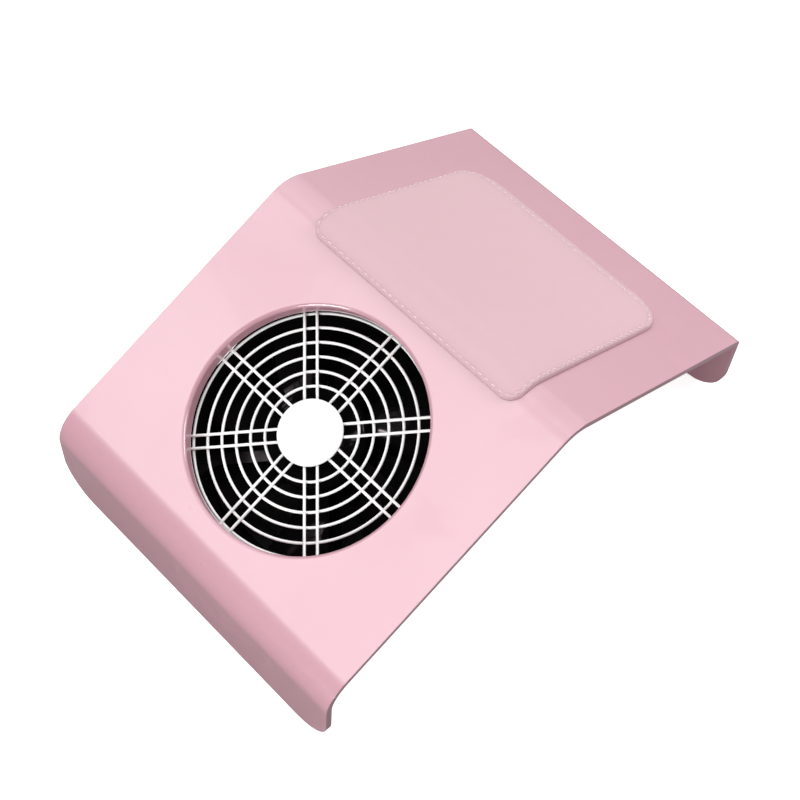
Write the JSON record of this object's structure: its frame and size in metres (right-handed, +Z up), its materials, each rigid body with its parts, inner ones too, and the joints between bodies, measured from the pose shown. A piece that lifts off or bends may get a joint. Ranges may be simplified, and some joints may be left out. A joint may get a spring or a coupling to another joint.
{
  "type": "nail dust collector",
  "caption": "Bent-sheet desktop extractor with a guarded suction fan in its sloping front panel, a padded hand rest over the apex and a cloth dust bag underneath.",
  "frame": {"origin": "bottom centre of the whole object's bounding box, on the table plane", "axes": "+X across the width (the near side of the usual three-quarter view), -Y towards the fan end, +Z up"},
  "size_m": [0.19, 0.2878, 0.1178],
  "materials": {
    "shell_pink_gloss": "glossy pale pink moulded plastic",
    "pad_leather_pink": "fine-grained pink leatherette",
    "pad_foam_white": "soft white foam",
    "pad_backing_board": "stiff backing board",
    "stitch_thread": "twisted sewing thread",
    "guard_white": "white powder-coated wire",
    "fan_black": "glossy black moulded plastic",
    "magnet": "dark bonded magnet in a steel cup",
    "steel": "bright ground steel",
    "core_steel": "stacked steel laminations",
    "copper": "enamelled copper wire",
    "board": "green glass-fibre circuit board",
    "zinc": "bright zinc plating",
    "switch_black": "black moulded plastic",
    "rocker_red": "glossy red moulded plastic",
    "brass": "plain brass",
    "nickel": "nickel plating",
    "wire_red": "red insulation",
    "wire_black": "black insulation",
    "clip_white": "white moulded plastic",
    "bag_cloth": "white non-woven cloth",
    "elastic_black": "woven elastic band"
  },
  "bodies": {
    "collector": {"top_shell": "shell_pink_gloss", "pad_backing": "pad_backing_board", "pad_foam": "pad_foam_white", "pad_cover": "pad_leather_pink", "pad_thread": "stitch_thread", "finger_guard": "guard_white", "guard_badge": "guard_white", "fan_frame": "fan_black", "stator_core": "core_steel", "coil_front": "copper", "coil_rear": "copper", "coil_left": "copper", "coil_right": "copper", "fan_circuit_board": "board", "bearing_upper": "steel", "bearing_lower": "steel", "bearing_spring": "steel", "fan_screw_1": "zinc", "fan_screw_2": "zinc", "fan_screw_3": "zinc", "fan_screw_4": "zinc", "switch_housing": "switch_black", "switch_terminal_1": "brass", "switch_terminal_2": "brass", "power_jack": "switch_black", "jack_pin": "nickel", "jack_nut": "nickel", "wire_switched": "wire_red", "wire_return": "wire_black", "wire_supply": "wire_red", "cable_clip_1": "clip_white", "cable_clip_2": "clip_white"},
    "fan_rotor": {"impeller": "fan_black", "rotor_magnet": "magnet", "rotor_shaft": "steel", "shaft_clip": "steel"},
    "rocker": {"switch_rocker": "rocker_red"},
    "bag": {"dust_bag": "bag_cloth", "bag_elastic": "elastic_black"}
  },
  "joints": [
    {"name": "fan_spin", "type": "hinge", "parent": "collector", "child": "fan_rotor", "pos_m": [0, -0.07017, 0.08279], "axis": [0, -0.4083, 0.9128], "continuous": true},
    {"name": "switch_rock", "type": "hinge", "parent": "collector", "child": "rocker", "pos_m": [-0.06, 0.14036, 0.024], "axis": [0, 0, 1], "range_deg": [0, 18]},
    {"name": "bag_pull", "type": "slide", "parent": "collector", "child": "bag", "axis": [0, 0.4083, -0.9128], "range_m": [0, 0.014]}
  ]
}
